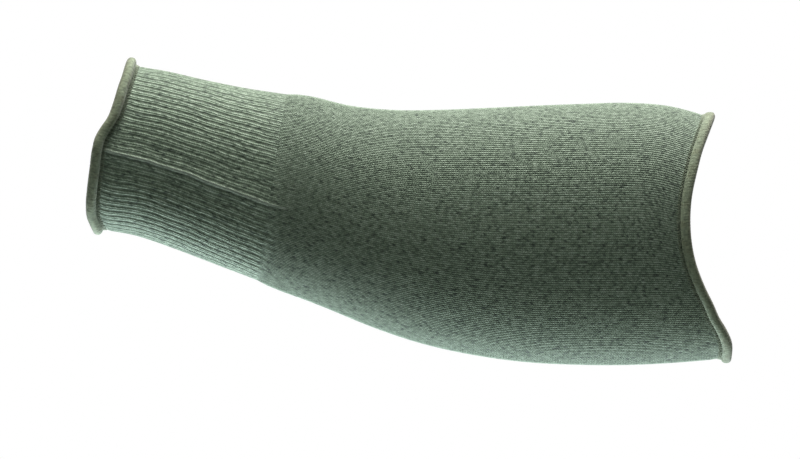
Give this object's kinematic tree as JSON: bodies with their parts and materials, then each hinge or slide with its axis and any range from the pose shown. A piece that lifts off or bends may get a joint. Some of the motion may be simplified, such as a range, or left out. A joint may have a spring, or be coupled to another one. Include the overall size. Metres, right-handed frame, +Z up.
{
  "type": "cut resistant sleeve",
  "caption": "Knitted forearm sleeve with a ribbed cuff, a plain widening body and a rolled overlocked edge round each open end.",
  "frame": {"origin": "middle of the ribbed cuff's hollow, where the wrist sits", "axes": "+X along the sleeve towards the arm opening, +Z up across the wide way of the oval, the pictured front faces -Y"},
  "size_m": [0.2652, 0.065, 0.1258],
  "materials": {
    "cuff_knit": "1x1 rib knit of marled cut resistant yarn, matte",
    "body_knit": "plain jersey knit of marled cut resistant yarn, matte",
    "roll_yarn": "overlocked textured yarn roll, matte"
  },
  "bodies": {
    "root": {"ribbed_cuff": "cuff_knit", "sleeve_body": "body_knit", "cuff_binding": "roll_yarn", "arm_binding": "roll_yarn"}
  },
  "joints": []
}
